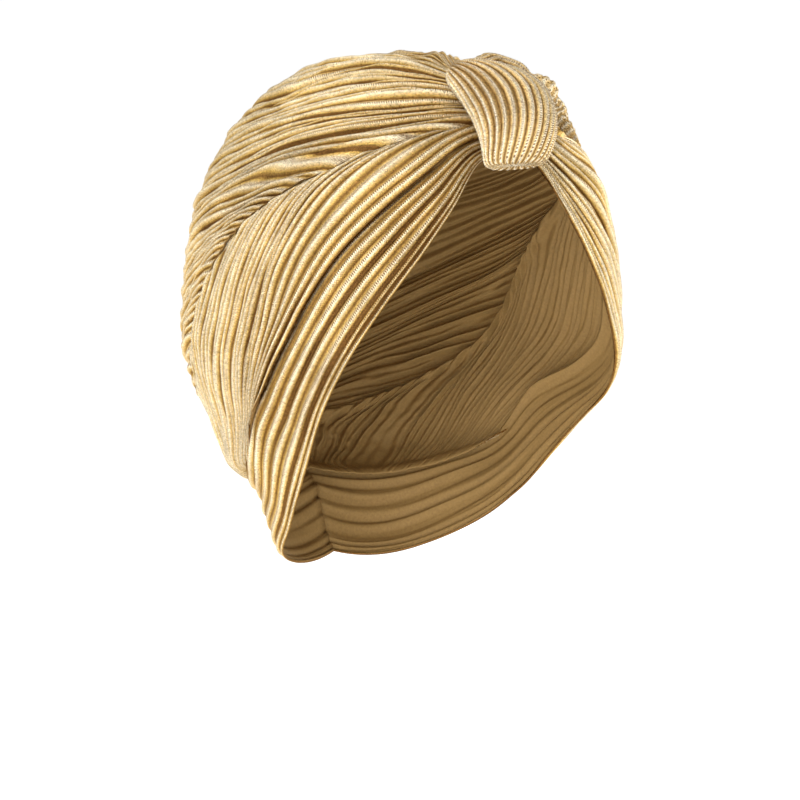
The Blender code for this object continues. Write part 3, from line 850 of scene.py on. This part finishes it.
def fan_cloth(seed, wrap):
    """Side fan, tucked under the crown at the seam and under the band at its foot."""
    cloth = Cloth(wrap(fan_direction), FAN_PLEATS, FAN_STATIONS, seed, run=FAN_RUN)
    cloth.lay_pleats(FAN_UNEVENNESS)
    cloth.press_creases(*FAN_CREASES)
    cloth.swell(*FAN_SWELLS)
    full = smooth(cloth.to_go / FAN_END_RUN)
    cloth.lift *= FAN_END_HEIGHT + (1 - FAN_END_HEIGHT) * full
    on_seam = smooth((cloth.v - FAN_STARTS[0][0]) / FAN_SEAM_FADE)
    cloth.lift -= TUCK_DEPTH * (1 - smooth(cloth.travel / TUCK_RUN)) * on_seam
    cloth.lift -= TUCK_DEPTH * (1 - smooth(cloth.to_go / TUCK_RUN))
    lip = 1 - smooth((cloth.count - 1) / FAN_LIP_PLEATS)
    lip = lip * smooth(cloth.u / LIP_COMES_IN) * smooth((1 - cloth.u) / LIP_GOES_OUT)
    cloth.lift += FAN_LIP_RISE * lip
    return cloth


def band_spread(share):
    """Narrow pleats at the rim of the face band, broad ones next to them."""
    edges = np.concatenate([[0.0], np.cumsum(BAND_WIDTHS)]) / sum(BAND_WIDTHS)
    return np.interp(share, np.linspace(0, 1, len(edges)), edges)


def band_cloth(seed, wrap):
    """Face band, whose upper border runs on beneath the fan until the fan tucks behind it."""
    cloth = Cloth(wrap(band_direction), len(BAND_WIDTHS), BAND_STATIONS, seed,
                  across=(0.0, 1.0 + BAND_UNDERLAP), spread=band_spread, wander=BAND_WANDER)
    cloth.lay_pleats(BAND_UNEVENNESS)
    cloth.press_creases(*BAND_CREASES)
    cloth.swell(*BAND_SWELLS)
    under = smooth((cloth.v - BAND_SINKS_FROM) / (1 - BAND_SINKS_FROM))
    under += BAND_EDGE_SINK * smooth((cloth.v - 1) / BAND_UNDERLAP)
    before_tuck = 1 - smooth((cloth.u - TUCK_PLACE) / TUCK_FADE + 1)
    from_knot = smooth(cloth.u / KNOT_FADE)
    cloth.lift -= TUCK_DEPTH * under * before_tuck * from_knot
    return cloth


def knot_frame():
    """Centre of the knot, and its axes: across, up the head and out from it."""
    out = direction(0.0, KNOT_ELEVATION)
    tilt = np.radians(KNOT_ELEVATION)
    up = np.array((0.0, np.sin(tilt), np.cos(tilt)))
    seat = head_radius(out[None, :])[0]
    return EAR_CENTRE + out * (seat + KNOT_STAND_OFF), np.array((1.0, 0.0, 0.0)), up, out


def rest_on_wraps(points):
    """Moves points out until they clear the pleats below them."""
    away = points - EAR_CENTRE
    far = np.linalg.norm(away, axis=1)
    aim = away / far[:, None]
    seat = head_radius(aim) + SEAT_CLEARANCE
    return EAR_CENTRE + aim * np.maximum(far, seat)[:, None]


def unit_ball(pleats, rings):
    """Sphere mesh with its turn, its height along the axis, and the pleat count round it."""
    tools = bmesh.new()
    bmesh.ops.create_uvsphere(tools, u_segments=pleats * PLEAT_SAMPLES, v_segments=rings, radius=1.0)
    ball = np.array([vert.co[:] for vert in tools.verts])
    turn = np.arctan2(ball[:, 1], ball[:, 0])
    count = (turn / (2 * np.pi) + 0.5) * pleats
    return tools, turn, np.clip(ball[:, 2], -1, 1), count


def pleat_heights(count, pleats, seed):
    """Ridges round a closed form, each with a height of its own."""
    draw = np.random.default_rng(seed)
    own = draw.uniform(1 - KNOT_UNEVENNESS, 1 + KNOT_UNEVENNESS, pleats + 1)
    return pleat_profile(count), own[np.clip(count.astype(int), 0, pleats)]


def make_knot(name, materials):
    """Bun like a shell: pleats fan out from its top corner, over the front and under."""
    centre, across, up, out = knot_frame()
    tools, turn, height, count = unit_ball(KNOT_PLEATS, KNOT_RINGS)
    ridge, own = pleat_heights(count, KNOT_PLEATS, KNOT_SEED)
    level = np.sqrt(1 - height**2)
    above = np.clip(height, 0, 1)
    below = np.clip(-height, 0, 1)
    shoulder = np.where(np.cos(turn) > 0, KNOT_LEFT_POWER, KNOT_RIGHT_POWER)
    breadth = level ** np.where(height > 0, shoulder, KNOT_FOOT_POWER)
    swell = KNOT_PLEAT_DEPTH * own * (ridge - 0.5) * level**KNOT_RIDGE_POWER
    shift = KNOT_LEAN * above**KNOT_LEAN_POWER + KNOT_FOOT_SHIFT * below
    x = (KNOT_WIDTH / 2 * breadth + swell) * np.cos(turn) - KNOT_WIDTH * shift
    y = KNOT_HEIGHT / 2 * height * (1 - KNOT_FOOT_SHORT * below)
    z = (KNOT_DEPTH / 2 * level**KNOT_DEPTH_POWER + swell) * np.sin(turn)
    z = z - KNOT_DEPTH * (KNOT_FOOT_SINK * below**3 + KNOT_TOP_SINK * above**3)
    points = centre + x[:, None] * across + y[:, None] * up + z[:, None] * out
    for vert, point in zip(tools.verts, rest_on_wraps(points)):
        vert.co = point
    bmesh.ops.reverse_faces(tools, faces=tools.faces)
    run = (1 - height) * KNOT_HEIGHT / 2 * KNOT_BULGE
    return add_piece(name, tools, run, count, ridge, materials)


def roll_row(share):
    return through(places_of(ROLL_ROWS), [row[1:] for row in ROLL_ROWS], np.clip(share, 0, 1))


def make_roll(name, materials):
    """Rolled fold of crown cloth that stands up behind the knot."""
    centre, across, up, out = knot_frame()
    tools, turn, height, count = unit_ball(ROLL_PLEATS, ROLL_RINGS)
    ridge, own = pleat_heights(count, ROLL_PLEATS, ROLL_SEED)
    share = 1 - np.arccos(height) / np.pi
    halves = np.diag((KNOT_WIDTH, KNOT_HEIGHT, KNOT_DEPTH)) / 2
    to_world = halves @ np.stack((across, up, out))
    spine = roll_row(share)[:, :3] @ to_world
    run = unit((roll_row(share + 0.02) - roll_row(share - 0.02))[:, :3] @ to_world)
    side = unit(np.cross(run, out))
    rise = np.cross(run, side)
    round_end = np.sqrt(np.clip(np.sin(np.pi * share), 0, 1))
    girth = ROLL_THICKNESS / 2 * roll_row(share)[:, 3] * round_end
    for place, half, swelling in ROLL_LUMPS:
        girth = girth * (1 + swelling * np.exp(-(((share - place) / half) ** 2)))
    gathered = smooth((share - GATHER_FROM) / GATHER_GROWTH)
    wander = GATHER_WANDER * ripple(GATHER_SEED, share * 2, np.cos(turn) / 5)
    gathers = pleat_profile(share / GATHER_PITCH + wander)
    pleated = own * (ridge - 0.5) * (1 - PLEATS_LOST * gathered)
    girth = girth + ROLL_PLEAT_DEPTH * pleated * round_end
    girth = girth + GATHER_DEPTH * (gathers - 0.5) * round_end * gathered
    # The gathers' colour: painted shade in their valleys, painted highlight on their ridges
    ridge = ridge * (1 - gathered) + (GATHER_VALLEY + GATHER_RISE * gathers) * gathered
    ring = np.cos(turn)[:, None] * side + np.sin(turn)[:, None] * rise
    points = centre + spine + girth[:, None] * ring
    for vert, point in zip(tools.verts, rest_on_wraps(points)):
        vert.co = point
    return add_piece(name, tools, share * ROLL_CLOTH_LENGTH, count, ridge, materials)


# Colours of ridge, panel, valley and crease: a painted highlight on the ridges, painted shade in the
# valleys and creases. The knot's copy is the same knit, a little smoother and painted lighter as
# painted light.
wrap_knit = gilded_knit("foil_printed_knit", "#FDEDCC", "#E8CE9C", "#CFA95C", "#7A562C", 0.32)
knot_knit_painted_lighter = gilded_knit("foil_printed_knit_smoother_painted_lighter", "#FFF1D6", "#ECD5A8", "#D6B270", "#7A5830",
                        0.28)
reverse_knit = plain_reverse("knit_reverse", "#9C7B45")

for hand, flip, seed in (("right", False, RIGHT_SEED), ("left", True, LEFT_SEED)):
    wrap = left_side if flip else right_side
    for part, cloth, node_name in (
        ("crown_cloth_", crown_cloth(seed, wrap), "crown_wrap"),
        ("side_fan_", fan_cloth(seed + FAN_SEED_STEP, wrap), "side_wrap_" + hand),
        ("face_band_cloth_", band_cloth(seed + BAND_SEED_STEP, wrap), "face_band_" + hand),
    ):
        cloth.puff(-1.0 if flip else 1.0)
        piece = make_cloth(part + hand, cloth, flip, (wrap_knit, reverse_knit))
        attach(piece, "root")
        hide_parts(node_name)

knot = make_knot("knot_bun", (knot_knit_painted_lighter,))
roll = make_roll("knot_roll", (knot_knit_painted_lighter,))
for piece, node_name in ((knot, "knot_band"), (roll, "knot_back_fold")):
    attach(piece, "root")
    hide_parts(node_name)


def make_floor():
    """Seamless white paper, far below the cap."""
    tools = bmesh.new()
    bmesh.ops.create_grid(tools, x_segments=1, y_segments=1, size=PAPER_HALF)
    bmesh.ops.translate(tools, verts=tools.verts, vec=(0, 0, -PAPER_DROP))
    mesh = bpy.data.meshes.new("floor")
    tools.to_mesh(mesh)
    tools.free()
    floor = bpy.data.objects.new("floor", mesh)
    bpy.context.collection.objects.link(floor)
    material = bpy.data.materials.new("white_paper")
    material.use_nodes = True
    shader = material.node_tree.nodes["Principled BSDF"]
    shader.inputs["Base Color"].default_value = linear("#F4F4F4")
    shader.inputs["Roughness"].default_value = 0.9
    shader.inputs["Emission Color"].default_value = (1, 1, 1, 1)
    shader.inputs["Emission Strength"].default_value = PAPER_GLOW
    mesh.materials.append(material)


def add_light(name, azimuth, elevation, distance, size, power):
    """A softbox aimed at the middle of the cap."""
    data = bpy.data.lights.new(name, "AREA")
    data.shape = "RECTANGLE"
    data.size = size[0]
    data.size_y = size[1]
    data.energy = power
    lamp = bpy.data.objects.new(name, data)
    bpy.context.collection.objects.link(lamp)
    towards = direction(azimuth, elevation)
    lamp.location = CAMERA_AIM + towards * distance
    lamp.rotation_euler = Vector(towards).to_track_quat("Z", "Y").to_euler()


def add_camera():
    back = direction(CAMERA_AZIMUTH, CAMERA_ELEVATION)
    right = unit(np.cross((0, 0, 1), back))
    up = np.cross(back, right)
    place = CAMERA_AIM + back * CAMERA_DISTANCE
    target = CAMERA_AIM - up * FRAME_DROP - right * FRAME_SIDE
    data = bpy.data.cameras.new("camera")
    data.lens = LENS
    camera = bpy.data.objects.new("camera", data)
    bpy.context.collection.objects.link(camera)
    camera.location = place
    camera.rotation_euler = Vector(place - target).to_track_quat("Z", "Y").to_euler()
    bpy.context.scene.camera = camera


make_floor()
for softbox in SOFTBOXES:
    add_light(*softbox)
world = bpy.data.worlds.new("studio")
bpy.context.scene.world = world
world.use_nodes = True
world.node_tree.nodes["Background"].inputs["Color"].default_value = (1, 1, 1, 1)
world.node_tree.nodes["Background"].inputs["Strength"].default_value = ROOM_LIGHT
bpy.context.scene.view_settings.view_transform = "Standard"
add_camera()
